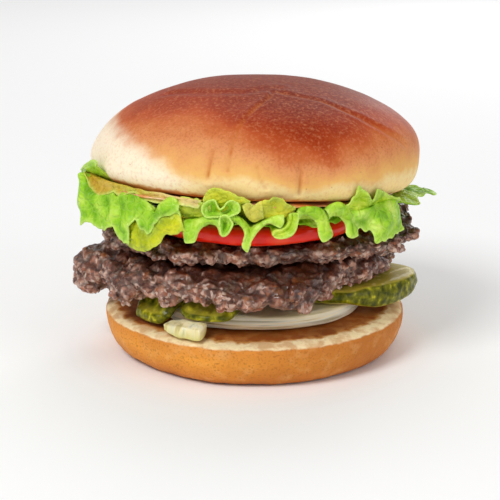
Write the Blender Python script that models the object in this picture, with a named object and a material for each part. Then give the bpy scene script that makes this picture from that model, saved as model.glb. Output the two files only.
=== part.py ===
"""Double hamburger, built up layer by layer from the heel of the bun to its crown.

Metres, +Z up. The origin is the centre of the heel's flat underside. The front,
where the tomato and both lots of pickle show, faces -Y. Angles are in degrees
round the stack, from +X towards +Y, so the front is at 270 and the left at 180.
"""

import math

import bmesh
import bpy
from mathutils import Matrix, Vector, noise

MM = 0.001
GAP = 0.35 * MM  # air left between two pieces that rest on each other

# Heights of the layers above the floor, at the middle of the stack.
HEEL_FACE = 16.2 * MM
ONION_THICK = 5.7 * MM
PICKLE_THICK = 5.5 * MM
LOWER_PATTY_THICK = 11.3 * MM
UPPER_PATTY_THICK = 8.2 * MM
TOMATO_THICK = 6.4 * MM

ONION_BASE = HEEL_FACE + GAP
PICKLE_BASE = ONION_BASE + ONION_THICK + GAP
LOWER_PATTY_BASE = PICKLE_BASE + PICKLE_THICK + GAP
UPPER_PATTY_BASE = LOWER_PATTY_BASE + LOWER_PATTY_THICK + GAP
TOMATO_BASE = UPPER_PATTY_BASE + UPPER_PATTY_THICK + GAP
LETTUCE_BASE = TOMATO_BASE + TOMATO_THICK + GAP

# The heel of the bun.
HEEL_RADIUS = 54.4 * MM
HEEL_FOOT_RADIUS = 45.5 * MM
HEEL_RIM_HEIGHT = 13.6 * MM
HEEL_FACE_RADIUS = 47.5 * MM

# The crown of the bun, which leans back on what is under it.
CROWN_RADIUS = 58.4 * MM
CROWN_CUT_RADIUS = 52.5 * MM
CROWN_WAIST = 8.8 * MM  # from the cut face up to the widest ring
CROWN_HEIGHT = 36.2 * MM
CROWN_CENTRE = Vector((0.0, 0.0, 61.6 * MM))
CROWN_LEAN_BACK = math.radians(4.2)
CROWN_CUT_SLANT = math.radians(2.4)  # the cut face alone falls away to the right
CROWN_SWELL = 1.4 * MM  # the dome is fuller on its right shoulder than on its left

SAUCE_THICK = 1.3 * MM
ONION_RADIUS = 40.5 * MM
TOMATO_RADIUS = 40.0 * MM
TOMATO_FORWARD = 8.0 * MM
DRAPE_START = 43.2 * MM  # past the onion's edge the pickles sink towards the heel
DRAPE_RUN = 5.0 * MM

LEAF_THICK = 0.8 * MM
LEAF_ROOT = 37.0 * MM
LEAF_SHELF = 46.0 * MM

# Bumps round the stack: each row is (angle, half width in degrees, amount in mm).
# A patty's reach is how far its edge goes out, its droop how far the underside of that edge
# hangs and its sag how far the top of it does.
LOWER_PATTY_REACH = ((182, 15, 15.5), (211, 10, 7.0), (197, 5, -2.5), (232, 8, 2.0), (246, 10, 1.0),
                     (275, 16, 2.0), (288, 6, 1.0), (318, 15, -8.0), (345, 14, -1.5), (80, 30, 1.0))
LOWER_PATTY_DROOP = ((180, 13, 12.0), (209, 9, 8.0), (195, 5, -2.0), (233, 5.5, 4.5), (245, 6, 1.2),
                     (264, 8, 3.6), (288, 6.5, 3.4), (110, 16, 3.0), (70, 14, 3.5))
LOWER_PATTY_SAG = ((182, 22, 3.2), (209, 12, 2.4), (266, 30, 2.6), (335, 20, 2.6), (80, 50, 2.0))
UPPER_PATTY_REACH = ((184, 18, 6.0), (203, 8, 2.0), (222, 10, 2.6), (236, 7, 1.8), (268, 10, -2.0),
                     (290, 12, -2.0), (330, 10, 3.5), (347, 13, 8.5), (6, 12, 6.5), (60, 24, 4.0),
                     (118, 22, 3.0))
UPPER_PATTY_DROOP = ((186, 16, 3.2), (204, 8, 1.4), (243, 4, -2.4), (262, 8, -1.6), (289, 12, -4.4),
                     (330, 9, 2.4), (348, 9, 0.8), (10, 12, -2.5), (100, 30, 2.0))
UPPER_PATTY_SAG = ((184, 22, 1.6), (222, 14, 0.8), (330, 10, 1.0), (347, 8, 1.8), (9, 12, -4.4),
                   (100, 30, 2.0))
SAUCE_REACH = ((190, 34, 5.5), (232, 22, 6.0), (282, 20, 4.5))
CROWN_REACH = ((200, 40, 0.5), (330, 40, 0.4), (95, 35, -0.9))
HEEL_REACH = ((225, 14, -0.9), (200, 20, 0.5), (330, 30, 0.6), (70, 40, -0.8))
ONION_REACH = ((250, 30, 0.4), (306, 24, 1.8), (40, 50, -0.8))
TOMATO_REACH = ((265, 40, 0.6), (30, 50, -1.2), (140, 40, -0.8))


def clear_scene():
    for obj in list(bpy.data.objects):
        bpy.data.objects.remove(obj, do_unlink=True)


def smoothstep(value):
    value = min(max(value, 0.0), 1.0)
    return value * value * (3 - 2 * value)


def bumps(angle, rows):
    """The sum of the rows' bell-shaped bumps at this angle, in metres."""
    total = 0.0
    for centre, width, amount in rows:
        away = (angle - centre + 180) % 360 - 180
        total += amount * MM * math.exp(-((away / width) ** 2))
    return total


def angle_of(point):
    return math.degrees(math.atan2(point.y, point.x)) % 360


def roughness_at(point, grain, seed=0.0):
    """Smooth random relief between about -1 and 1, with lumps about one grain across."""
    return noise.noise(point / grain + Vector((seed, -seed, 2 * seed)))


def arc(centre, radii, start, end, steps):
    """Points of an elliptical arc in the profile's plane, from start to end in degrees."""
    points = []
    for step in range(steps + 1):
        turn = math.radians(start + (end - start) * step / steps)
        points.append((centre[0] + radii[0] * math.cos(turn), centre[1] + radii[1] * math.sin(turn)))
    return points


def rings(radii, height):
    return [(radius, height) for radius in radii]


def turned(profile, segments):
    """A closed mesh of revolution. The profile runs from the axis below to the axis above."""
    bm = bmesh.new()
    verts = [bm.verts.new((radius, 0.0, height)) for radius, height in profile]
    edges = [bm.edges.new(pair) for pair in zip(verts, verts[1:])]
    bmesh.ops.spin(bm, geom=verts + edges, axis=(0, 0, 1), cent=(0, 0, 0),
                   angle=math.tau, steps=segments, use_merge=True)
    bmesh.ops.remove_doubles(bm, verts=bm.verts, dist=1e-6)
    bmesh.ops.recalc_face_normals(bm, faces=bm.faces)
    return bm


def reshape(bm, place):
    """Moves every vertex to where place() puts it."""
    for vert in bm.verts:
        vert.co = place(vert.co.copy())


def material(name, colour, roughness):
    made = bpy.data.materials.new(name)
    made.use_nodes = True
    shader = made.node_tree.nodes["Principled BSDF"]
    shader.inputs["Base Color"].default_value = (*colour, 1.0)
    shader.inputs["Roughness"].default_value = roughness
    shader.inputs["Metallic"].default_value = 0.0
    return made


def finish(bm, name, finish_of):
    """Turns the bmesh into a named object with its material, shaded smooth."""
    bmesh.ops.triangulate(bm, faces=bm.faces)
    mesh = bpy.data.meshes.new(name)
    bm.to_mesh(mesh)
    bm.free()
    mesh.shade_smooth()
    mesh.materials.append(finish_of)
    obj = bpy.data.objects.new(name, mesh)
    bpy.context.scene.collection.objects.link(obj)
    return obj


def wobbly(rows, grain=30 * MM, amount=0.4 * MM):
    """A placing rule that pushes a turned outline in and out round the stack."""
    def place(point):
        flat = Vector((point.x, point.y, 0))
        if flat.length < 1e-9:
            return point
        push = bumps(angle_of(point), rows) + amount * roughness_at(point, grain)
        share = flat.length / HEEL_RADIUS
        return point + flat.normalized() * push * share
    return place


def heel(crust):
    profile = rings((0, 26 * MM), 0)
    profile += arc((HEEL_FOOT_RADIUS, HEEL_RIM_HEIGHT), (HEEL_RADIUS - HEEL_FOOT_RADIUS, HEEL_RIM_HEIGHT),
                   -90, 0, 6)
    profile += arc((HEEL_FACE_RADIUS, HEEL_RIM_HEIGHT),
                   (HEEL_RADIUS - HEEL_FACE_RADIUS, HEEL_FACE - HEEL_RIM_HEIGHT), 22, 90, 3)
    profile += rings((34 * MM, 0), HEEL_FACE)
    bm = turned(profile, 44)
    reshape(bm, wobbly(HEEL_REACH))
    return finish(bm, "heel", crust)


def onion_slice(flesh):
    """A slice across an onion. Its outer skin bellies out between the two cut faces."""
    half = ONION_THICK / 2
    profile = rings((0, 24 * MM), ONION_BASE)
    profile += arc((ONION_RADIUS - 1.6 * MM, ONION_BASE + half), (1.6 * MM, half), -90, 90, 4)
    profile += rings((24 * MM, 0), ONION_BASE + ONION_THICK)
    bm = turned(profile, 40)
    reshape(bm, wobbly(ONION_REACH))
    return finish(bm, "onion_slice", flesh)


def onion_piece(flesh):
    """A short length of a broken onion ring, lying on the heel's rim with one end forward."""
    length, width, height = 15 * MM, 6.2 * MM, 4.4 * MM
    bearing, ring = math.radians(241.5), 50.2 * MM
    bm = bmesh.new()
    bmesh.ops.create_cube(bm, size=1.0)
    bmesh.ops.scale(bm, vec=(length, width, height), verts=bm.verts)
    lengthwise = [e for e in bm.edges if abs((e.verts[0].co - e.verts[1].co).x) > length / 2]
    bmesh.ops.subdivide_edges(bm, edges=lengthwise, cuts=3, use_grid_fill=True)
    bmesh.ops.bevel(bm, geom=[e for e in bm.edges if e.calc_face_angle(0) > 1.0], offset=0.9 * MM,
                    segments=2, profile=0.5, affect="EDGES", material=-1)

    def place(point):
        swell = 1.05 - 0.45 * smoothstep(2 * point.x / length)
        out = ring + point.y - 0.10 * point.x
        turn = bearing - point.x / ring
        tilt = 0.10 * (point.y - 0.3 * point.x)
        lift = HEEL_FACE + GAP + 0.3 * MM + height / 2 + point.z * swell - tilt
        return Vector((out * math.cos(turn), out * math.sin(turn), lift))

    reshape(bm, place)
    return finish(bm, "onion_piece", flesh)


def pickle(name, centre, semi_axes, turn, sink, fan, seed, flesh):
    """A slice of pickled cucumber: an oval with a knobbly skin, bent down over the onion.

    sink is how far the outer edge's underside and top have settled, in millimetres. fan is how much
    wider and squarer the slice has been pressed towards that edge: 0 leaves it oval.
    """
    half = PICKLE_THICK / 2
    belly = 0.10
    profile = [(0, -half), (0.4, -half), (0.7, -half)]
    profile += arc((1 - belly, 0), (belly, half), -90, 90, 3)
    profile += [(0.7, half), (0.4, half), (0, half)]
    bm = turned(profile, 24)
    placed = (Matrix.Translation(Vector((centre[0] * MM, centre[1] * MM, PICKLE_BASE + half)))
              @ Matrix.Rotation(math.radians(turn), 4, "Z"))

    def place(point):
        out = math.hypot(point.x, point.y)
        knobs = 1 + 0.045 * out * roughness_at(Vector((point.x, point.y, 0)), 0.24, seed)
        if out > 0:
            knobs *= (abs(point.x / out) ** 3 + abs(point.y / out) ** 3) ** (-fan / 0.54)
        wide = semi_axes[1] * (1 + fan * point.x)
        oval = Vector((point.x * semi_axes[0] * MM * knobs, point.y * wide * MM * knobs, point.z))
        placed_oval = placed @ oval
        away = Vector((placed_oval.x, placed_oval.y)).length
        share = (point.z + half) / PICKLE_THICK
        settled = (sink[0] * (1 - share) + sink[1] * share) * MM
        return placed_oval - Vector((0, 0, settled * smoothstep((away - DRAPE_START) / DRAPE_RUN)))

    reshape(bm, place)
    return finish(bm, name, flesh)


def patty(name, base, thick, radius, reach, droop, sag, hang, seed, meat):
    """A hand-pressed round of minced beef: a ragged edge that hangs where nothing holds it up.

    hang is how far out the underside starts to droop.
    """
    half = thick / 2
    lip = 4.5 * MM
    profile = rings((0, 0.40 * radius, 0.70 * radius, 0.82 * radius), 0)
    profile += arc((radius - lip, half), (lip, half), -90, 90, 6)
    profile += rings((0.84 * radius, 0.70 * radius, 0.42 * radius, 0), thick)
    bm = turned(profile, 54)

    def place(point):
        away = Vector((point.x, point.y, 0)).length
        if away < 1e-9:
            return point + Vector((0, 0, base))
        angle = angle_of(point)
        share = away / radius
        edge = smoothstep((share - 0.72) / 0.24)
        crag = 1.7 * MM * roughness_at(point, 6.5 * MM, seed)
        crag += 1.0 * MM * roughness_at(point, 3.1 * MM, seed)
        out = away + bumps(angle, reach) * smoothstep((share - 0.72) / 0.28) + edge * crag
        below = bumps(angle, droop) * smoothstep((out - hang) / (radius - hang))
        above = bumps(angle, sag) * smoothstep((out - hang + 3 * MM) / (radius + 4 * MM - hang))
        up = point.z / thick
        height = base + point.z - below * (1 - up) - above * up
        height -= edge * (up - 0.5) * (1.4 * MM * abs(roughness_at(point, 5.0 * MM, seed + 7)) + 2 * GAP)
        return Vector((point.x / away * out, point.y / away * out, height))

    reshape(bm, place)
    return finish(bm, name, meat)


def tomato_slice(flesh):
    """A slice across a tomato, so its skin leans a little and both cut faces are flat."""
    half = TOMATO_THICK / 2
    skin = 2.6 * MM
    profile = rings((0, 26 * MM), 0)
    profile += arc((TOMATO_RADIUS - skin, half), (skin, half), -90, 90, 5)
    profile += rings((26 * MM, 0), TOMATO_THICK)
    bm = turned(profile, 42)
    reshape(bm, wobbly(TOMATO_REACH))
    bmesh.ops.translate(bm, verts=bm.verts, vec=(0, -TOMATO_FORWARD, TOMATO_BASE))
    return finish(bm, "tomato_slice", flesh)


def pressed_level(angle, away):
    """The height at which a leaf's middle lies right under the dressing on the crown."""
    x, y = away * math.cos(math.radians(angle)), away * math.sin(math.radians(angle))
    face = CROWN_CENTRE.z - y * math.tan(CROWN_LEAN_BACK) - x * math.tan(CROWN_CUT_SLANT)
    return face - SAUCE_THICK - 2 * GAP - LEAF_THICK / 2


def headroom(angle, away, opening):
    """The greatest height of a leaf that leaves room for one pressed up against the crown.

    Past the crown's rim that one turns up, and opening is how fast it makes room.
    """
    rim = 50.5 * MM
    return pressed_level(angle, min(away, rim)) - LEAF_THICK - GAP + opening * max(away - rim, 0) ** 2


class Leaf:
    """A ruffled leaf that comes out from under the crown, rolls over a crest and ends in frills.

    reach and margin are the frilled edge's distance from the axis and its height, crest how
    far the sheet bulges up before it, all in millimetres. level is the height it lies at on
    what is under it; a leaf without one is pressed up against the dressing on the crown's
    slanting cut face. Each frill is (angle, half width in
    degrees, drop, reach, lean in degrees): a tongue that hangs down, or that stands up where
    its drop is negative, and whose tip is swung round the stack by its lean.
    """

    def __init__(self, name, span, level, reach, margin, crest, frills, columns, rows, seed,
                 ripple=1.0, root=LEAF_ROOT, shelf=LEAF_SHELF, opening=23.0):
        self.name, self.span, self.level, self.frills = name, span, level, frills
        self.reach, self.margin, self.crest = reach * MM, margin * MM, crest * MM
        self.columns, self.rows, self.seed, self.ripple = columns, rows, seed, ripple * MM
        self.root, self.shelf, self.opening = root, shelf, opening

    def frill(self, angle, column):
        return sum(row[column] * math.exp(-abs((angle - row[0]) / row[1]) ** 3) for row in self.frills)

    def point(self, across, out):
        """The sheet's middle surface. across runs along the frilled edge, out from root to edge."""
        angle = self.span[0] + (self.span[1] - self.span[0]) * across
        corner = 1 - abs(2 * across - 1) ** 14
        full = self.reach + self.frill(angle, 3) * MM
        away = self.root + (full - self.root) * (0.45 + 0.55 * corner) * out
        free = min(max((away - self.shelf) / (full - self.shelf), 0.0), 1.0)
        level = self.level if self.level else pressed_level(angle, min(away, self.shelf))
        fall = self.margin - self.frill(angle, 2) * MM * corner - level
        height = level + self.crest * corner * 4 * free * (1 - free)
        height += fall * free ** (2.6 if fall > 0 else 1.9)
        bearing = Vector((math.cos(math.radians(angle)), math.sin(math.radians(angle)), 0.15 * out))
        wave = self.ripple * free
        height += wave * roughness_at(bearing, 0.11, self.seed)
        if self.level:
            height = min(height, headroom(angle, away, self.opening))
        away += wave * roughness_at(bearing, 0.08, self.seed + 3)
        turn = math.radians(angle + self.frill(angle, 4) * free ** 2)
        return Vector((away * math.cos(turn), away * math.sin(turn), height))

    def build(self, flesh):
        bm = bmesh.new()
        bmesh.ops.create_grid(bm, x_segments=self.columns, y_segments=self.rows, size=0.5)
        reshape(bm, lambda p: self.point(p.x + 0.5, (p.y + 0.5) ** 0.75))
        obj = finish(bm, self.name, flesh)
        thicken = obj.modifiers.new("thickness", "SOLIDIFY")
        thicken.thickness = LEAF_THICK
        thicken.offset = 0
        return obj


LEVEL = LETTUCE_BASE + LEAF_THICK / 2
LEAVES = (
    Leaf("lettuce_front", (239.5, 330.5), LEVEL, 57.5, 59.5, 5.0,
         ((248, 3.2, 10.0, 0.5, 0), (254, 2.8, -5.0, 2.5, 0.6), (259.5, 2.5, 6.0, 0.0, 0.4),
          (264.2, 2.8, -4.0, 2.5, -0.4), (268.4, 2.4, 10.0, -1.0, -1.0), (279.5, 3.2, 7.0, 0.5, -2.0),
          (285.5, 2.6, -2.0, 1.5, -1.0), (291.5, 2.8, 9.0, 0.0, 2.6), (297.5, 2.4, -2.0, 1.5, 0),
          (302.5, 2.5, 7.3, 0.0, 1.0), (316.5, 5.5, 9.5, 1.0, 0), (324.5, 2.6, 4.5, 2.5, 0)),
         60, 6, 1.0, ripple=0.5, opening=38.0),
    Leaf("lettuce_left", (146, 239), LEVEL + 1.3 * MM, 60.5, 50.0, 5.0,
         ((158, 5, 2.0, 0.5, 0), (167, 4, -2.0, 1.0, 0), (175, 4.5, -1.5, 0.5, 0), (184, 4, 4.5, 2.5, 0),
          (194, 4.5, -2.0, 0.0, 0), (202, 4.0, 1.5, 1.0, 0), (210, 3.6, 2.5, 0.5, 0),
          (216, 3.0, -1.0, 0.0, 0), (228, 6, 3.2, -1.6, 0), (237, 3.6, -3.0, -1.0, 0)),
         46, 6, 5.0, ripple=1.2),
    Leaf("lettuce_left_upper", (165, 242), None, 62.0, 64.5, 0.0,
         ((172, 3, -1.5, 0.5, 0), (178, 3.0, 1.0, -0.5, 0), (184, 3, -1.5, 0.5, 0),
          (192, 4, 2.0, -1.0, 0), (200, 4, 1.0, -0.5, 0), (208, 4.5, 3.5, -2.0, 0), (217, 5, 2.0, -3.0, 0),
          (226, 5.5, 4.0, -4.0, 0), (236, 6, 2.0, -5.0, 0)),
         28, 4, 21.0, ripple=0.5, root=47 * MM, shelf=51 * MM),
    Leaf("lettuce_right", (333, 376), LEVEL + 1.0 * MM, 59.0, 56.0, 0.5,
         ((338, 3.5, -2.0, 0.5, 0), (347, 3.5, 1.5, 0.0, 0), (364, 5.5, 2.0, 7.5, 0)),
         20, 4, 9.0, ripple=0.7),
    Leaf("lettuce_inner", (247, 329), None, 59.8, 66.5, 0.0,
         ((253, 3.0, -2.0, 0, 0), (260, 4, -4.5, 0.5, 0), (268, 3.0, 1.0, 0.0, 0), (276, 4.5, -2.0, 0.0, 0),
          (291, 6.5, 3.0, -6.0, 0), (304.5, 3.0, -2.5, 0.0, 0), (309, 2.5, 1.0, 0, 0),
          (314, 3.0, -0.5, 0.5, 0), (323, 4, 2.5, 0.0, 0)),
         36, 4, 13.0, ripple=0.4, root=45 * MM, shelf=50.5 * MM),
    Leaf("lettuce_back", (18, 144), LEVEL - 0.2 * MM, 57.0, 52.5, 1.0,
         ((28, 4, 3.0, 1.5, 0), (38, 4, -1.5, 0.0, 0), (50, 4.5, 4.0, 2.0, 0), (61, 4, -1.0, 0.5, 0),
          (72, 4.5, 3.5, 1.0, 0), (84, 4, -1.0, 0.0, 0), (96, 4.5, 4.5, 2.0, 0), (108, 4, -1.0, 0.5, 0),
          (120, 4.5, 3.5, 1.0, 0), (132, 4.5, -0.5, 1.5, 0)),
         28, 4, 17.0, ripple=1.0),
)


def crown_frame():
    """An empty in the middle of the crown's cut face, leaning as the crown does."""
    frame = bpy.data.objects.new("crown_frame", None)
    frame.location = CROWN_CENTRE
    frame.rotation_euler = (-CROWN_LEAN_BACK, 0, 0)
    bpy.context.scene.collection.objects.link(frame)
    return frame


def slanted(point):
    """Slants the crown's lower part with its cut face, and swells the dome to the right."""
    fade = 1 - smoothstep(point.z / (1.4 * CROWN_WAIST))
    up = max(point.z - CROWN_WAIST, 0) / (CROWN_HEIGHT - CROWN_WAIST)
    return point + Vector((CROWN_SWELL * math.sin(math.pi * up), 0,
                           -point.x * math.tan(CROWN_CUT_SLANT) * fade))


def crown(crust, frame):
    rise = CROWN_HEIGHT - CROWN_WAIST
    profile = rings((0, 30 * MM), 0)
    profile += arc((CROWN_CUT_RADIUS, CROWN_WAIST), (CROWN_RADIUS - CROWN_CUT_RADIUS, CROWN_WAIST), -90, 0, 5)
    dome = arc((0, CROWN_WAIST), (CROWN_RADIUS, rise), 0, 90, 9)
    profile += dome[1:]
    bm = turned(profile, 44)
    reshape(bm, wobbly(CROWN_REACH, amount=0.5 * MM))
    reshape(bm, slanted)
    obj = finish(bm, "crown", crust)
    obj.parent = frame
    return obj


def sauce(spread, frame):
    """The dressing on the crown's cut face, squeezed out to an uneven edge."""
    half = SAUCE_THICK / 2
    radius = 44 * MM
    profile = rings((0, 28 * MM), -SAUCE_THICK)
    profile += arc((radius - half, -half), (half, half), -90, 90, 2)
    profile += rings((28 * MM, 0), 0)
    bm = turned(profile, 44)
    reshape(bm, wobbly(SAUCE_REACH, grain=9 * MM, amount=1.4 * MM))
    reshape(bm, slanted)
    obj = finish(bm, "sauce", spread)
    obj.location.z = -GAP
    obj.parent = frame
    return obj


def build():
    clear_scene()
    crust_pale = material("baked_heel_crust", (0.62, 0.30, 0.09), 0.75)
    crust_dark = material("glazed_crown_crust", (0.42, 0.14, 0.04), 0.4)
    onion = material("raw_white_onion", (0.78, 0.80, 0.58), 0.3)
    pickled = material("pickled_cucumber", (0.22, 0.26, 0.03), 0.3)
    beef = material("griddled_beef", (0.12, 0.06, 0.04), 0.6)
    tomato = material("ripe_tomato", (0.62, 0.03, 0.01), 0.25)
    lettuce = material("leaf_lettuce", (0.28, 0.52, 0.05), 0.4)
    dressing = material("burger_dressing", (0.80, 0.42, 0.20), 0.35)

    heel(crust_pale)
    onion_slice(onion)
    onion_piece(onion)
    pickle("pickle_left", (-30.2, -25.3), (11.0, 8.8), 220, (5.0, 6.3), 0.18, 1.0, pickled)
    pickle("pickle_middle", (-14.2, -36.4), (10.6, 9.6), 248.5, (0.6, 3.2), 0.18, 2.0, pickled)
    pickle("pickle_right", (36, -10), (27, 16), 37, (3.6, 0), 0.0, 3.0, pickled)
    pickle("pickle_back", (30, 29), (15, 12), 42, (2.0, 3.0), 0.0, 4.0, pickled)
    patty("patty_lower", LOWER_PATTY_BASE, LOWER_PATTY_THICK, 51.5 * MM,
          LOWER_PATTY_REACH, LOWER_PATTY_DROOP, LOWER_PATTY_SAG, 43.5 * MM, 1.0, beef)
    patty("patty_upper", UPPER_PATTY_BASE, UPPER_PATTY_THICK, 48.5 * MM,
          UPPER_PATTY_REACH, UPPER_PATTY_DROOP, UPPER_PATTY_SAG, 42 * MM, 2.0, beef)
    tomato_slice(tomato)
    for leaf in LEAVES:
        leaf.build(lettuce)
    frame = crown_frame()
    crown(crust_dark, frame)
    sauce(dressing, frame)


build()
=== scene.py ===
"""A tall double hamburger on a plain pale floor.

Each layer of the frame is copied, given its crust, crumb, frills or glaze, and stands for its solid.
"""

import math
import random
from functools import partial

import bmesh
import bpy
from bpy.props import FloatProperty, FloatVectorProperty, IntProperty, PointerProperty
from mathutils import Matrix, Vector, kdtree, noise


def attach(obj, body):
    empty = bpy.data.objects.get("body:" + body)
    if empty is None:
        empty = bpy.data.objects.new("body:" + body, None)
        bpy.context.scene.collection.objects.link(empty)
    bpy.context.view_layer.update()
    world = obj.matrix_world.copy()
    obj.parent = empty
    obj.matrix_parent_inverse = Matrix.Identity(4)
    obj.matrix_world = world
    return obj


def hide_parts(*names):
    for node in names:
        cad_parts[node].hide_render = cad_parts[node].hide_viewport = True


bl_info = {
    "name": "Double Hamburger",
    "version": (1, 0, 0),
    "blender": (4, 5, 0),
    "location": "3D View > Sidebar > Hamburger",
    "description": "Bakes the bun, sears the patties, ruffles the leaves and lights the floor",
    "category": "Add Mesh",
}

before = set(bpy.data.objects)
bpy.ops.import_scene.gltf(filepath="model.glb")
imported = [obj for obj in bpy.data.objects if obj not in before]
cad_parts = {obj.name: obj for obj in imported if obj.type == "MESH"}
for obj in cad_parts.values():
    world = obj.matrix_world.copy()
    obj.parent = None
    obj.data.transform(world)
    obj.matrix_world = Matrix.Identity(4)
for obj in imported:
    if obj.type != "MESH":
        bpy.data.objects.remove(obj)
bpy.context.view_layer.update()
MM = 0.001


# ---------------------------------------------------------------- colours and nodes


def linear(code):
    """An sRGB hex colour as linear red, green, blue and alpha."""
    parts = [int(code[i : i + 2], 16) / 255 for i in (1, 3, 5)]
    return tuple(c / 12.92 if c <= 0.04045 else ((c + 0.055) / 1.055) ** 2.4 for c in parts) + (1.0,)


def add_node(tree, kind, inputs=(), stops=(), out=None, **settings):
    """Adds a node to the tree, and gives its first live output or the one named by out.

    inputs are values, hex colours or sockets to link, in the node's order or by name. stops are a ramp's.
    """
    node = tree.nodes.new("ShaderNode" + kind)
    for name, value in settings.items():
        setattr(node, name, value)
    for key, value in (inputs if isinstance(inputs, dict) else dict(enumerate(inputs))).items():
        if isinstance(value, bpy.types.NodeSocket):
            tree.links.new(value, node.inputs[key])
        else:
            node.inputs[key].default_value = linear(value) if isinstance(value, str) else value
    for index, (position, shade) in enumerate(stops):
        elements = node.color_ramp.elements
        element = elements[index] if index < 2 else elements.new(1.0)
        element.position = position
        element.color = linear(shade) if isinstance(shade, str) else shade
    return node.outputs[out] if out else next(socket for socket in node.outputs if socket.enabled)


def finish_of(name, **constants):
    """A new material with these constants on its shader.

    Gives the material, a function that adds a node, one that feeds the shader, and Object coordinates.
    """
    material = bpy.data.materials.new(name)
    material.use_nodes = True
    tree = material.node_tree
    shader = tree.nodes["Principled BSDF"]
    for key, value in constants.items():
        shader.inputs[key.replace("_", " ")].default_value = value

    def feed(key, socket):
        tree.links.new(socket, shader.inputs[key])

    add = partial(add_node, tree)
    return material, add, feed, add("TexCoord", out="Object")


# ---------------------------------------------------------------- meshes


def copied(node):
    """The node's mesh as one skin, its loose triangles merged and paired into four-sided faces."""
    bm = bmesh.new()
    bm.from_mesh(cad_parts[node].data)
    bmesh.ops.remove_doubles(bm, verts=bm.verts, dist=0.002 * MM)
    bmesh.ops.join_triangles(
        bm, faces=bm.faces, angle_face_threshold=math.radians(40), angle_shape_threshold=math.radians(70)
    )
    return bm


def piece_from(name, bm):
    """An object of this name that holds the mesh."""
    mesh = bpy.data.meshes.new(name)
    bm.to_mesh(mesh)
    bm.free()
    piece = bpy.data.objects.new(name, mesh)
    bpy.context.scene.collection.objects.link(piece)
    return piece


def applied(piece, kind, **settings):
    """Puts a modifier on the piece and applies it to its mesh."""
    modifier = piece.modifiers.new(kind, kind)
    for name, value in settings.items():
        setattr(modifier, name, value)
    shaped = piece.evaluated_get(bpy.context.evaluated_depsgraph_get())
    mesh = bpy.data.meshes.new_from_object(shaped)
    piece.modifiers.clear()
    piece.data = mesh
    return piece


def rounded(name, bm, levels):
    """The mesh as an object, divided and smoothed as many times as levels says."""
    return applied(piece_from(name, bm), "SUBSURF", levels=levels, render_levels=levels)


def moved(piece, shift):
    """Moves each point of the piece by shift(place, outward)."""
    points = [(v.co.copy(), v.normal.copy()) for v in piece.data.vertices]
    for vertex, (place, outward) in zip(piece.data.vertices, points):
        vertex.co = place + shift(place, outward)
    piece.data.update()
    return piece


def painted(piece, name, value):
    """Keeps value(place, outward) at each point of the piece, for its material to read."""
    layer = piece.data.attributes.new(name, "FLOAT", "POINT")
    layer.data.foreach_set("value", [value(v.co, v.normal) for v in piece.data.vertices])
    return piece


def settle(piece, node, material):
    """Makes the piece stand for the node in this finish."""
    piece.data.materials.clear()
    piece.data.materials.append(material)
    piece.data.shade_smooth()
    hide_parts(node)
    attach(piece, "root")
    return piece


# ---------------------------------------------------------------- fields


def ease(low, high, value):
    """0 below low, 1 above high, and a smooth step between them."""
    share = min(1.0, max(0.0, (value - low) / (high - low)))
    return share * share * (3 - 2 * share)


def wander(place, grain, seed=0):
    """A smooth field from -1 to 1 whose features are this many millimetres across."""
    return noise.noise(place / (grain * MM) + Vector((seed * 7.3, seed * 3.1, seed * 5.7)))


def lump(place, grain, seed=0):
    """A field of round lumps this many millimetres across: 1 on top of one, 0 in the cracks between them."""
    near = noise.voronoi(place / (grain * MM) + Vector((seed * 2.9, seed * 8.1, seed * 4.3)))[0]
    return min(1.0, (near[1] - near[0]) * 2.2) * (1.0 - 0.45 * near[0])


def along(path, place):
    """The distance in metres from place to the nearest stretch of a path of points."""
    best = 1.0
    for start, end in zip(path, path[1:]):
        stretch = end - start
        share = min(1.0, max(0.0, (place - start).dot(stretch) / stretch.length_squared))
        best = min(best, (place - start - stretch * share).length)
    return best


def path_of(*points):
    """Points given in millimetres, in metres."""
    return [Vector(point) * MM for point in points]


# ---------------------------------------------------------------- settings


def colour(name, description, code):
    """A colour that the user may change."""
    return FloatVectorProperty(
        name=name, description=description, subtype="COLOR", size=4, min=0, max=1, default=linear(code)
    )


def length(name, description, default, low, high):
    """A length in metres that the user may change."""
    return FloatProperty(
        name=name, description=description, default=default, min=low, max=high, precision=4, unit="LENGTH"
    )


class BunSettings(bpy.types.PropertyGroup):
    """Sizes and colours of the crown and the heel."""

    crust: colour("Crust", "The browned top of the crown", "#A03A12")
    tan: colour("Tan", "The crown's shoulder", "#D98F5A")
    gold: colour("Gold", "Where the crust fades out", "#EAB769")
    cream: colour("Cream", "The pale unbrowned dough", "#FBF0D6")
    toast: colour("Toast", "The heel's griddled face", "#A85A18")
    side: colour("Side", "The heel's baked side", "#F2A23C")
    crease: length("Crease depth", "How deep the crown's creases are", 0.0008, 0.0, 0.003)
    swell: length("Swell", "How uneven the crust is", 0.0005, 0.0, 0.003)


class BeefSettings(bpy.types.PropertyGroup):
    """Sizes and colours of the patties."""

    seared: colour("Seared", "The griddled top and edges", "#5E2814")
    cooked: colour("Cooked", "The crumbly sides", "#BA846C")
    juice: colour("Juice", "Browned juices in the crumb", "#AC6238")
    crumbs: IntProperty(
        name="Crumbs", description="Loose crumbs on each patty's edge", default=620, min=0, max=2000
    )
    voxel: length("Grain", "The smallest detail of the meat", 0.00052, 0.0003, 0.002)
    lump: length("Lump height", "How far the clumps stand out", 0.0011, 0.0, 0.004)


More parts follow.
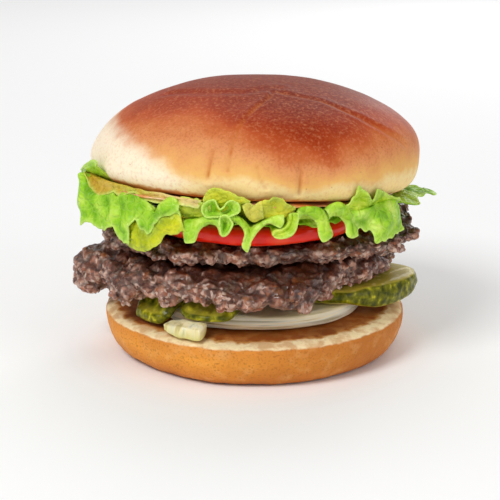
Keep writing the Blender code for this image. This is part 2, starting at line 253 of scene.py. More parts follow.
class GreenSettings(bpy.types.PropertyGroup):
    """Sizes and colours of the lettuce and the pickles."""

    leaf: colour("Leaf", "The leaves' green", "#8CC41C")
    young: colour("Young leaf", "The heart leaves' yellow-green", "#BCC40A")
    # The rim colour is partly the margin's own paler green and partly a painted highlight.
    rim: colour("Rim", "The frills' pale edges", "#CBEA70")
    vein: colour("Vein", "The leaves' ribs", "#CFE08A")
    peel: colour("Peel", "The pickles' skin", "#6A6A08")
    flesh: colour("Flesh", "The pickles' cut faces", "#BCA83A")
    ruffle: length("Ruffle", "How far the leaves crinkle", 0.0008, 0.0, 0.003)


class SliceSettings(bpy.types.PropertyGroup):
    """Colours of the tomato and the onion."""

    tomato: colour("Tomato", "The tomato's skin", "#F2240E")
    pulp: colour("Pulp", "The tomato's cut faces", "#E2462B")
    onion: colour("Onion", "The onion's flesh", "#FCECC4")
    fibre: colour("Fibre", "The onion's darker lines", "#C9B888")


class SauceSettings(bpy.types.PropertyGroup):
    """Colours of the dressing."""

    dressing: colour("Dressing", "The dressing where it is thick", "#EBB98C")
    spice: colour("Spice", "The dressing where it is thin", "#D9853A")


class StageSettings(bpy.types.PropertyGroup):
    """The floor, the lights and the camera."""

    floor: colour("Floor", "The plain floor", "#FAFAFA")
    daylight: FloatProperty(name="Daylight", description="The surrounding light", default=0.45, min=0, max=5)
    key: FloatProperty(name="Key", description="The main lamp", default=9.0, min=0, max=500, subtype="POWER")
    fill: FloatProperty(
        name="Fill", description="The side lamp", default=2.0, min=0, max=500, subtype="POWER"
    )
    lens: FloatProperty(
        name="Lens", description="The camera's focal length in mm", default=103.9, min=20, max=300
    )


# ---------------------------------------------------------------- bun

# The crown sits on a plane that leans back a little: up for the crown, where that plane is, and how far the
# crown rises above it.
CROWN_UP = Vector((0.0, 0.073, 0.997))
CROWN_BASE = 0.0614
CROWN_RISE = 0.0362


def crust(bun):
    """Egg-glazed milk bread, baked: a thin glossy skin, browned on top and pale where it rose late."""
    material, add, feed, place = finish_of(
        "glazed milk bread crust", Specular_IOR_Level=0.1, Coat_Weight=0.02, Coat_Roughness=0.3,
        Sheen_Weight=0.05, Sheen_Roughness=0.3,
        Subsurface_Weight=0.08, Subsurface_Radius=(0.004, 0.002, 0.001), Subsurface_Scale=0.4,
    )
    height = add("VectorMath", [place, CROWN_UP], operation="DOT_PRODUCT", out="Value")
    height = add("MapRange", [height, CROWN_BASE, CROWN_BASE + CROWN_RISE], clamp=False)
    across = add("SeparateXYZ", [place], out="X")
    # The browning wanders by a few millimetres: slow swings of 30 mm, and quick ones of 6 mm.
    slow = add("TexNoise", {"Vector": place, "Scale": 33.0, "Detail": 2.0})
    quick = add("TexNoise", {"Vector": place, "Scale": 160.0, "Detail": 4.0})
    slow = add("MapRange", [slow, 0.3, 0.7, -0.07, 0.07])
    quick = add("MapRange", [quick, 0.3, 0.7, -0.035, 0.035])
    height = add("Math", [height, slow], operation="ADD")
    height = add("Math", [height, quick], operation="ADD")
    # Right of the middle the crust browned further down, and on the left flank the dough stayed pale.
    right = add("MapRange", [across, -0.03, 0.02, -0.08, 0.15], interpolation_type="SMOOTHSTEP")
    edge = add("MapRange", [across, 0.026, 0.05, 0.0, -0.07])
    right = add("Math", [right, edge], operation="ADD")
    upper = add("MapRange", [height, 0.12, 0.34, 0.2, 1.0])
    top = add("MapRange", [across, -0.058, -0.011, 0.74, 0.2], interpolation_type="SMOOTHSTEP")
    pale = add("Math", [top, height], operation="SUBTRACT")
    pale = add("MapRange", [pale, -0.04, 0.19, 0.0, 0.88], interpolation_type="SMOOTHSTEP")
    left = add("MapRange", [across, -0.026, -0.016, 1.0, 0.0])
    low = add("MapRange", [height, 0.04, 0.22, 0.3, 1.0])
    pale = add("Math", [pale, left], operation="MULTIPLY")
    pale = add("Math", [pale, low], operation="MULTIPLY")
    height = add("Math", [right, upper, height], operation="MULTIPLY_ADD")
    spot = add("VectorMath", [place, (0.017, -0.052, 0.081)], operation="DISTANCE", out="Value")
    spot = add("MapRange", [spot, 0.005, 0.019, 0.08, 0.0], interpolation_type="SMOOTHSTEP")
    height = add("Math", [height, spot], operation="ADD")
    brown = add(
        "ValToRGB", {"Fac": height},
        stops=[
            (0.04, "#F8D892"), (0.13, "#F2D698"), (0.22, bun.gold), (0.31, "#E4A662"), (0.45, bun.tan),
            (0.56, "#C66C3A"), (0.64, "#B54F24"), (0.72, bun.crust), (0.79, "#96300C"), (0.88, "#882A0A"),
            (1.0, "#782208"),
        ],
    )
    # Where it browned, the glaze is grained at 0.8 mm.
    grit = add("TexNoise", {"Vector": place, "Scale": 1250.0, "Detail": 1.0})
    grit = add("MapRange", [grit, 0.48, 0.66, 0.0, 0.35])
    baked = add("MapRange", [height, 0.26, 0.5])
    grit = add("Math", [grit, baked], operation="MULTIPLY")
    # Fine pale flecks where the glaze blistered, about 1 mm apart, and small dark specks 4 mm apart.
    flecks = add("TexNoise", {"Vector": place, "Scale": 900.0, "Detail": 2.0, "Roughness": 0.6})
    flecks = add("MapRange", [flecks, 0.5, 0.7, 0.0, 0.3])
    specks = add("TexVoronoi", {"Vector": place, "Scale": 260.0, "Randomness": 1.0})
    specks = add("MapRange", [specks, 0.03, 0.09, 0.4, 0.0])
    # The glaze split along the creases, and dressing has soaked into the lip.
    crease = add("Attribute", attribute_name="crease", out="Fac")
    lip = add("Attribute", attribute_name="lip", out="Fac")
    coats = [
        (grit, "#AE5228"), (pale, bun.cream), (flecks, "#E09468"), (specks, "#7A3A1E"), (crease, "#C8702E"),
        (lip, "#DD8630"),
    ]
    for share, shade in coats:
        brown = add("Mix", {0: share, 6: brown, 7: shade}, data_type="RGBA")
    feed("Base Color", brown)
    feed("Roughness", add("MapRange", [height, 0.3, 0.8, 0.64, 0.46]))
    grain = add("TexNoise", {"Vector": place, "Scale": 700.0, "Detail": 5.0, "Roughness": 0.65})
    wrinkle = add("TexNoise", {"Vector": place, "Scale": 110.0, "Detail": 3.0, "Distortion": 0.6})
    bump = add("Bump", {"Height": wrinkle, "Strength": 0.25, "Distance": 0.0012})
    feed("Normal", add("Bump", {"Height": grain, "Strength": 0.3, "Distance": 0.0003, "Normal": bump}))
    return material


# The crown's creases, its front's first: points in mm, then width in mm and share of the full depth.
CREASES = [
    (path_of((6, -24, 96), (4.9, -29.1, 95.5), (1.5, -34.5, 94.2), (-1.8, -39.9, 92.2), (-5, -45.5, 89.3),
             (-6.9, -50.7, 85.4), (-8.2, -54.3, 81.3), (-9.1, -56.4, 76.8)), 0.7, 0.8),
    (path_of((-14, -52.3, 82.5), (-14.5, -54, 79.5), (-15.2, -55.3, 76), (-15.8, -56, 73)), 0.8, 1.0),
    (path_of((14.2, -54.8, 78.1), (14.7, -55.2, 75.5), (14.4, -55.5, 72), (13.9, -54.6, 68.2)), 0.7, 1.0),
    (path_of((0.5, -56.4, 77.5), (1.5, -57, 74.5), (3.2, -57, 71)), 0.7, 0.6),
    (path_of((4.9, -24, 96.5), (11.6, -26.1, 95.7), (21.6, -26.6, 94.1), (29.9, -29.6, 91.3),
             (38.2, -30.9, 87.4), (44.4, -30, 83.5), (50.6, -25.8, 78.6)), 1.3, 0.6),
    (path_of((-30, -12, 94), (-16, -22, 95.6), (-4, -25, 96.5), (8, -20, 97)), 1.8, 0.7),
    (path_of((-44, 12, 86), (-28, 24, 93), (-8, 30, 95)), 1.4, 0.7),
    (path_of((20, 30, 93), (34, 34, 87), (42, 36, 80)), 1.2, 0.8),
]
FRONT_CREASES = CREASES[:5]


class HAMBURGER_OT_crown(bpy.types.Operator):
    """Bake the crown: a browned, creased and slightly wrinkled dome"""

    bl_idname = "hamburger.crown"
    bl_label = "Bake Crown"

    def execute(self, context):
        bun = context.scene.hamburger_bun
        piece = rounded("crown_crust", copied("crown"), 3)

        def uneven(place, outward):
            swell = bun.swell * (wander(place, 26, 1) + 0.35 * wander(place, 9, 2))
            for path, width, share in CREASES:
                gap = along(path, place) / (width * MM)
                swell -= share * bun.crease * math.exp(-gap * gap)
                swell += 0.4 * share * bun.crease * math.exp(-((gap - 2) ** 2))
            return outward * swell

        def split(place, outward):
            """How near the place is to the bottom of a crease in the front."""
            near = 0.0
            for path, _, share in FRONT_CREASES:
                near = max(near, share * math.exp(-((along(path, place) / (0.5 * MM)) ** 2)))
            return near * (0.5 + 0.9 * wander(place, 3, 6))

        def soaked(place, outward):
            rise = (place.dot(CROWN_UP) - CROWN_BASE) / MM + 42 * place.x
            rise += 0.5 * wander(place, 5, 3) + 0.8 * wander(place, 1.4, 5)
            edge = 1 - ease(0.4, 1.6, rise - 0.9 * (1 - ease(-0.035, -0.005, place.x)))
            side = ease(0.1, 0.5, 0.5 + 0.9 * wander(place, 14, 4) + 0.4 * (1 - ease(-0.02, 0.01, place.x)))
            return 0.9 * edge * side

        painted(piece, "crease", split)
        moved(piece, uneven)
        painted(piece, "lip", soaked)
        settle(piece, "crown", crust(bun))
        return {"FINISHED"}


def toasted(bun):
    """Milk bread, cut and griddled: a matt crumb, brown where it met the iron, over a soft baked side."""
    material, add, feed, place = finish_of(
        "griddled milk bread", Roughness=0.66, Specular_IOR_Level=0.3,
        Subsurface_Weight=0.08, Subsurface_Radius=(0.004, 0.002, 0.001), Subsurface_Scale=0.4,
    )
    across = add("SeparateXYZ", [place], out="X")
    up = add("SeparateXYZ", [place], out="Z")
    level = add("VectorMath", [place, (1.0, 1.0, 0.0)], operation="MULTIPLY")
    radius = add("VectorMath", [level], operation="LENGTH", out="Value")
    ragged = add("TexNoise", {"Vector": place, "Scale": 190.0, "Detail": 4.0})
    wide = add("TexNoise", {"Vector": place, "Scale": 40.0, "Detail": 2.0})
    # Up the side: tan, a little redder low down, and pale dough along the shoulder.
    rise = add("MapRange", [ragged, 0.3, 0.7, -0.0008, 0.0008])
    rise = add("Math", [up, rise], operation="ADD")
    rise = add("MapRange", [rise, 0.0, 0.0162])
    side = add(
        "ValToRGB", {"Fac": rise},
        stops=[(0.0, "#B35E1C"), (0.2, "#E08C30"), (0.6, bun.side), (0.9, "#E08F36"), (1.0, "#E3AE66")],
    )
    # Random browner patches, plus painted shade that deepens towards the right side, away from the key lamp.
    wide = add("MapRange", [wide, 0.4, 0.65, 0.0, 0.3])
    turned = add("MapRange", [across, -0.02, 0.035, 0.0, 0.55])
    wide = add("Math", [wide, turned], operation="ADD")
    side = add("Mix", {0: wide, 6: side, 7: "#B9681F"}, data_type="RGBA")
    light = add("MapRange", [ragged, 0.52, 0.7, 0.0, 0.25])
    side = add("Mix", {0: light, 6: side, 7: "#F8C880"}, data_type="RGBA")
    # The face: toasted near its edge, paler crumb inside.
    reach = add("MapRange", [ragged, 0.3, 0.7, -0.0016, 0.0016])
    reach = add("Math", [radius, reach], operation="ADD")
    slim = add("MapRange", [across, -0.046, -0.026, 0.0022, 0.0])
    reach = add("Math", [reach, slim], operation="SUBTRACT")
    face = add("MapRange", [reach, 0.0, 0.06])
    face = add(
        "ValToRGB", {"Fac": face},
        stops=[
            (0.0, "#C98B45"), (0.6, "#B0651F"), (0.7, bun.toast), (0.785, "#964A10"), (0.805, "#C98A45"),
            (0.825, "#FAE2B2"),
        ],
    )
    streaks = add("MapRange", [ragged, 0.45, 0.6, 0.0, 0.55])
    face = add("Mix", {0: streaks, 6: face, 7: "#C88442"}, data_type="RGBA")
    onto = add("Attribute", attribute_name="face", out="Fac")
    base = add("Mix", {0: onto, 6: side, 7: face}, data_type="RGBA")
    # Pores of the crumb, 0.8 mm across, a shade darker than the bread round them.
    pores = add("TexNoise", {"Vector": place, "Scale": 1300.0, "Detail": 1.0, "Roughness": 0.5})
    pores = add("MapRange", [pores, 0.54, 0.7, 0.0, 0.5])
    firm = add("MapRange", [onto, 0.0, 1.0, 1.0, 0.25])
    pores = add("Math", [pores, firm], operation="MULTIPLY")
    base = add("Mix", {0: pores, 6: base, 7: "#A86220"}, data_type="RGBA")
    feed("Base Color", base)
    grain = add("TexNoise", {"Vector": place, "Scale": 650.0, "Detail": 5.0, "Roughness": 0.7})
    feed("Normal", add("Bump", {"Height": grain, "Strength": 0.8, "Distance": 0.0005}))
    return material


# Between these heights the heel's side turns into its cut face.
HEEL_EDGE = (0.0143, 0.0148)


class HAMBURGER_OT_heel(bpy.types.Operator):
    """Bake the heel: a porous side under a pale shoulder, and a griddled face"""

    bl_idname = "hamburger.heel"
    bl_label = "Bake Heel"

    def execute(self, context):
        bun = context.scene.hamburger_bun
        piece = rounded("heel_crust", copied("heel"), 3)
        fold = path_of((-41.6, -34.5, 14.8), (-41, -35.4, 11), (-39.8, -36.5, 8.3))

        def uneven(place, outward):
            swell = bun.swell * (
                0.8 * wander(place, 20, 5) + 0.5 * wander(place, 6, 6) + 0.3 * wander(place, 2.2, 7)
            )
            gap = along(fold, place) / MM
            shift = outward * (swell - 0.8 * MM * math.exp(-gap * gap))
            shift.z = max(shift.z, -place.z)
            return shift

        def upon(place, outward):
            """1 on the cut face, and 0 down the side."""
            level = place.z + 0.0003 * wander(place, 6, 8) + 0.0002 * wander(place, 1.5, 9)
            return ease(*HEEL_EDGE, level)

        moved(piece, uneven)
        painted(piece, "face", upon)
        settle(piece, "heel", toasted(bun))
        return {"FINISHED"}


# ---------------------------------------------------------------- beef


def griddled(beef):
    """Coarse minced beef, griddled: dry grey-brown crumb, and a dark glossy sear where it met the iron."""
    material, add, feed, place = finish_of(
        "griddled minced beef", Specular_IOR_Level=0.4, Coat_Roughness=0.08,
        Subsurface_Weight=0.04, Subsurface_Radius=(0.003, 0.001, 0.0007), Subsurface_Scale=0.3,
    )
    # Clumps of mince 3 mm across each have their own brown.
    warp = add("TexNoise", {"Vector": place, "Scale": 300.0, "Detail": 2.0}, out="Color")
    warp = add("VectorMath", [warp, (0.0018, 0.0018, 0.0018), place], operation="MULTIPLY_ADD")
    clumps = add("TexVoronoi", {"Vector": warp, "Scale": 330.0}, out="Color")
    clumps = add("SeparateXYZ", [clumps], out="X")
    cooked = add(
        "ValToRGB", {"Fac": clumps},
        stops=[
            (0.0, "#7C4836"), (0.3, "#A06C56"), (0.55, beef.cooked), (0.8, "#D2A088"), (0.92, beef.juice),
            (1.0, "#E0B49C"),
        ],
    )
    # Grains within them, 1.2 mm across, each a little lighter or darker.
    grains = add("TexVoronoi", {"Vector": warp, "Scale": 820.0}, out="Color")
    grains = add("SeparateXYZ", [grains], out="Y")
    speckle = add(
        "ValToRGB", {"Fac": grains},
        stops=[
            (0.0, "#35180F"), (0.22, "#7E483A"), (0.5, "#CC967E"), (0.78, "#FCE4D4"), (0.88, beef.juice),
            (0.96, "#9A4E28"), (1.0, "#F8E2CE"),
        ],
    )
    cooked = add("Mix", {0: 0.66, 6: cooked, 7: speckle}, data_type="RGBA")
    seared = add(
        "ValToRGB", {"Fac": clumps},
        stops=[(0.0, "#3A170C"), (0.5, beef.seared), (0.85, "#74371E"), (1.0, "#9A5628")],
    )
    sear = add("Attribute", attribute_name="sear", out="Fac")
    blotch = add("TexNoise", {"Vector": place, "Scale": 260.0, "Detail": 3.0})
    blotch = add("MapRange", [blotch, 0.35, 0.65, -0.3, 0.3])
    sear = add("Math", [sear, blotch], operation="ADD", use_clamp=True)
    base = add("Mix", {0: sear, 6: cooked, 7: seared}, data_type="RGBA")
    # Painted shade: the crevices between clumps and the tears are painted near black.
    pit = add("Attribute", attribute_name="pit", out="Fac")
    base = add("Mix", {0: pit, 6: base, 7: "#2C120A"}, data_type="RGBA")
    feed("Base Color", base)
    wet = add("TexNoise", {"Vector": place, "Scale": 170.0, "Detail": 3.0})
    wet = add("MapRange", [wet, 0.42, 0.6, 0.62, 0.22])
    feed("Roughness", add("Mix", {0: sear, 2: wet, 3: 0.3}, data_type="FLOAT"))
    # Fat and juice stand on it in patches 3 mm across.
    juice = add("TexNoise", {"Vector": place, "Scale": 330.0, "Detail": 2.0})
    feed("Coat Weight", add("MapRange", [juice, 0.46, 0.58, 0.05, 0.8]))
    grain = add("TexNoise", {"Vector": place, "Scale": 900.0, "Detail": 4.0, "Roughness": 0.7})
    feed("Normal", add("Bump", {"Height": grain, "Strength": 0.8, "Distance": 0.0009}))
    return material


# Loose crumbs lie outside this radius.
CRUMB_REACH = 0.041


def mince(node, beef, seed):
    """A patty with crumbs on its edge, made one skin and roughened into clumps and grains."""
    rng = random.Random(seed)
    bm = copied(node)
    bm.normal_update()
    middle = sum((v.co.z for v in bm.verts), 0.0) / len(bm.verts)
    edge = [f for f in bm.faces if f.calc_center_median().xy.length > CRUMB_REACH or abs(f.normal.z) < 0.6]
    for face in rng.choices(edge, [f.calc_area() for f in edge], k=beef.crumbs):
        corners = [v.co for v in face.verts]
        weights = [rng.random() + 0.05 for _ in corners]
        spot = sum((c * w for c, w in zip(corners, weights)), Vector()) / sum(weights)
        size = rng.uniform(0.7, 2.3) * MM
        turn = rng.uniform(0, math.tau)
        spin = Matrix.Rotation(turn, 4, Vector((rng.uniform(-1, 1), rng.uniform(-1, 1), 1)))
        shape = Matrix.Diagonal((rng.uniform(0.8, 1.5), rng.uniform(0.7, 1.1), rng.uniform(0.6, 1.0), 1))
        place = Matrix.Translation(spot - face.normal * size * 0.25) @ spin @ shape
        bmesh.ops.create_icosphere(bm, subdivisions=1, radius=size, matrix=place)
    piece = piece_from(node + "_mince", bm)
    applied(piece, "REMESH", mode="VOXEL", voxel_size=beef.voxel, adaptivity=0)

    def torn(near):
        """1 along the tears between clumps, and 0 away from them."""
        return 1 - min(1.0, 6 * abs(wander(near, 6.5, seed + 8)))

    def warped(place):
        return place + Vector([wander(place, 4, seed + axis) for axis in range(3)]) * MM

    def sear(place, outward):
        top = ease(0.1, 0.8, outward.z + 0.4 * wander(place, 7, seed + 5))
        rise = ease(middle - 0.002, middle + 0.009, place.z)
        spot = 1 - ease(0.006, 0.02, (place - Vector((0.014, -0.049, 0.036))).length)
        return min(1.0, 0.75 * top + 0.35 * rise * top + 0.55 * spot)

    def clumped(place, outward):
        """Clumps and tears, with a crumb that the griddle pressed smooth where it seared."""
        near = warped(place)
        crumb = 0.55 * beef.lump * (lump(near, 2.6, seed + 3) - 0.5)
        crumb += 0.1 * beef.lump * (lump(near, 1.2, seed + 4) - 0.5)
        crumb += 0.25 * MM * wander(place, 1.6, seed + 7) - 0.6 * MM * torn(near)
        crumb -= 0.5 * MM * ease(0.3, 0.55, wander(place, 4.5, seed + 6))
        clump = 1.8 * beef.lump * (lump(near, 9, seed) - 0.5)
        return outward * (clump + crumb * (1 - 0.55 * sear(place, outward)))

    # How deep a place lies in the crevices and tears, which sets the painted shade there.
    def pit(place, outward):
        near = warped(place)
        low = 1 - 0.75 * lump(near, 9, seed) - 0.35 * lump(near, 2.6, seed + 3)
        return max(0.7 * ease(0.5, 0.9, low), 0.6 * torn(near))

    painted(piece, "pit", pit)
    moved(piece, clumped)
    painted(piece, "sear", sear)
    return piece


class HAMBURGER_OT_patties(bpy.types.Operator):
    """Sear the two patties: crumbly clumps with dark glossy tops"""

    bl_idname = "hamburger.patties"
    bl_label = "Sear Patties"

    def execute(self, context):
        beef = context.scene.hamburger_beef
        meat = griddled(beef)
        for node, seed in (("patty_lower", 11), ("patty_upper", 29)):
            settle(mince(node, beef, seed), node, meat)
        return {"FINISHED"}


# ---------------------------------------------------------------- greens


def leafy(green):
    """Green leaf lettuce, washed: a thin waxy blade that lets light through, blistered between pale veins."""
    material, add, feed, place = finish_of(
        "green leaf lettuce", Roughness=0.4, Specular_IOR_Level=0.24, Coat_Weight=0.04, Coat_Roughness=0.15,
        Subsurface_Weight=0.15, Subsurface_Radius=(0.0012, 0.0022, 0.0003), Subsurface_Scale=0.6,
    )
    patch = add("TexNoise", {"Vector": place, "Scale": 150.0, "Detail": 4.0})
    base = add(
        "ValToRGB", {"Fac": patch},
        stops=[(0.3, "#6AA40A"), (0.42, green.leaf), (0.55, "#AEDA38"), (0.7, "#CEEA66")],
    )
    heart = add("ValToRGB", {"Fac": patch}, stops=[(0.3, "#8A9C04"), (0.48, green.young), (0.65, "#E0DC20")])
    young = add("Attribute", attribute_name="young", out="Fac")
    # Fine veins make a net of cells 3 mm across.
    warp = add("TexNoise", {"Vector": place, "Scale": 180.0}, out="Color")
    warp = add("VectorMath", [warp, (0.003, 0.003, 0.003), place], operation="MULTIPLY_ADD")
    cells = add("TexVoronoi", {"Vector": warp, "Scale": 330.0}, feature="DISTANCE_TO_EDGE")
    veins = add("MapRange", [cells, 0.0, 0.08, 0.12, 0.0])
    old = add("MapRange", [young, 0.0, 1.0, 1.0, 0.3])
    veins = add("Math", [veins, old], operation="MULTIPLY")
    # Dressing has run over some of it.
    smear = add("Attribute", attribute_name="dressed", out="Fac")
    sauced = add(
        "ValToRGB", {"Fac": patch},
        stops=[(0.36, "#CE9C34"), (0.48, "#CEB846"), (0.6, "#E6CC82"), (0.7, "#BCC63C")],
    )
    # It pooled, thin and orange, in the hollow on the far left.
    across = add("SeparateXYZ", [place], out="X")
    peach = add("MapRange", [across, -0.038, -0.028, 0.0, 0.8])
    hollow = add("MapRange", [across, -0.05, -0.04, 0.85, 0.0])
    for share, shade in [(peach, "#F0BE96"), (hollow, "#CE8A2E")]:
        sauced = add("Mix", {0: share, 6: sauced, 7: shade}, data_type="RGBA")
    # The frills' free edges are paler: partly the leaf's own lighter margin, partly a painted highlight where
    # light catches the curls.
    edge = add("Attribute", attribute_name="rim", out="Fac")
    edge = add("Math", [edge, old], operation="MULTIPLY")
    for share, shade in [(young, heart), (veins, green.vein), (smear, sauced), (edge, green.rim)]:
        base = add("Mix", {0: share, 6: base, 7: shade}, data_type="RGBA")
    feed("Base Color", base)
    blister = add("MapRange", [cells, 0.0, 0.3], interpolation_type="SMOOTHSTEP")
    bump = add("Bump", {"Height": blister, "Strength": 0.5, "Distance": 0.0009})
    fine = add("TexNoise", {"Vector": place, "Scale": 600.0, "Detail": 3.0})
    feed("Normal", add("Bump", {"Height": fine, "Strength": 0.2, "Distance": 0.0003, "Normal": bump}))
    return material


